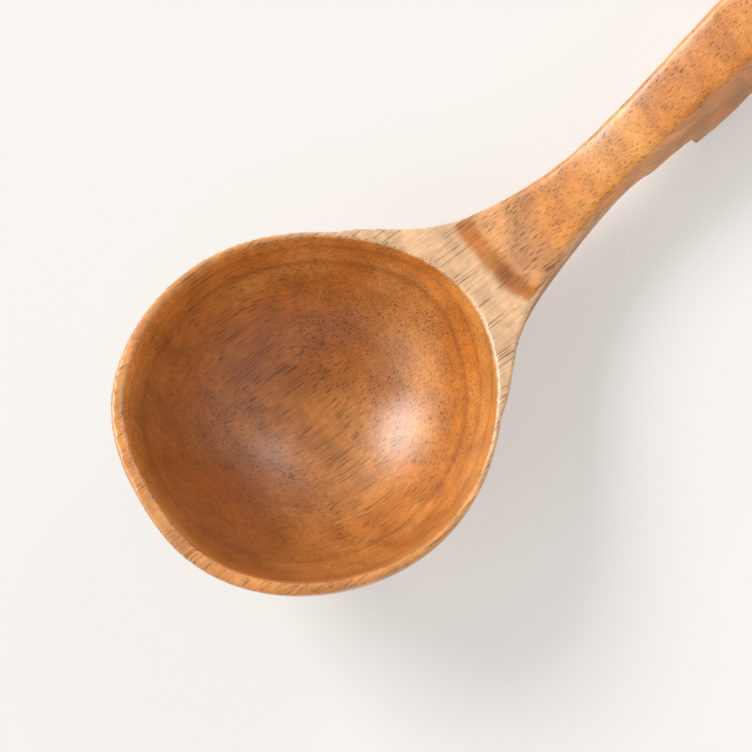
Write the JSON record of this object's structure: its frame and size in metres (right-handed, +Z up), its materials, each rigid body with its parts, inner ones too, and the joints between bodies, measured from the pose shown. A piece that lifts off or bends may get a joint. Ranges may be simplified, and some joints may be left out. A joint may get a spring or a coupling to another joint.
{
  "type": "wooden soup ladle",
  "caption": "Carved hardwood ladle with a round deep bowl, a flared neck and a swept handle that has a pot-rest hook under it.",
  "frame": {"origin": "middle of the sanded spot where the bowl touches the table, ladle at rest on its bowl and the end of its handle", "axes": "+X from the bowl along the handle, +Y across it, +Z up from the table"},
  "size_m": [0.2914, 0.088, 0.0549],
  "materials": {
    "ladle": "clear semi-gloss lacquer over mottled hardwood"
  },
  "bodies": {
    "root": {"ladle": "ladle"}
  },
  "joints": []
}
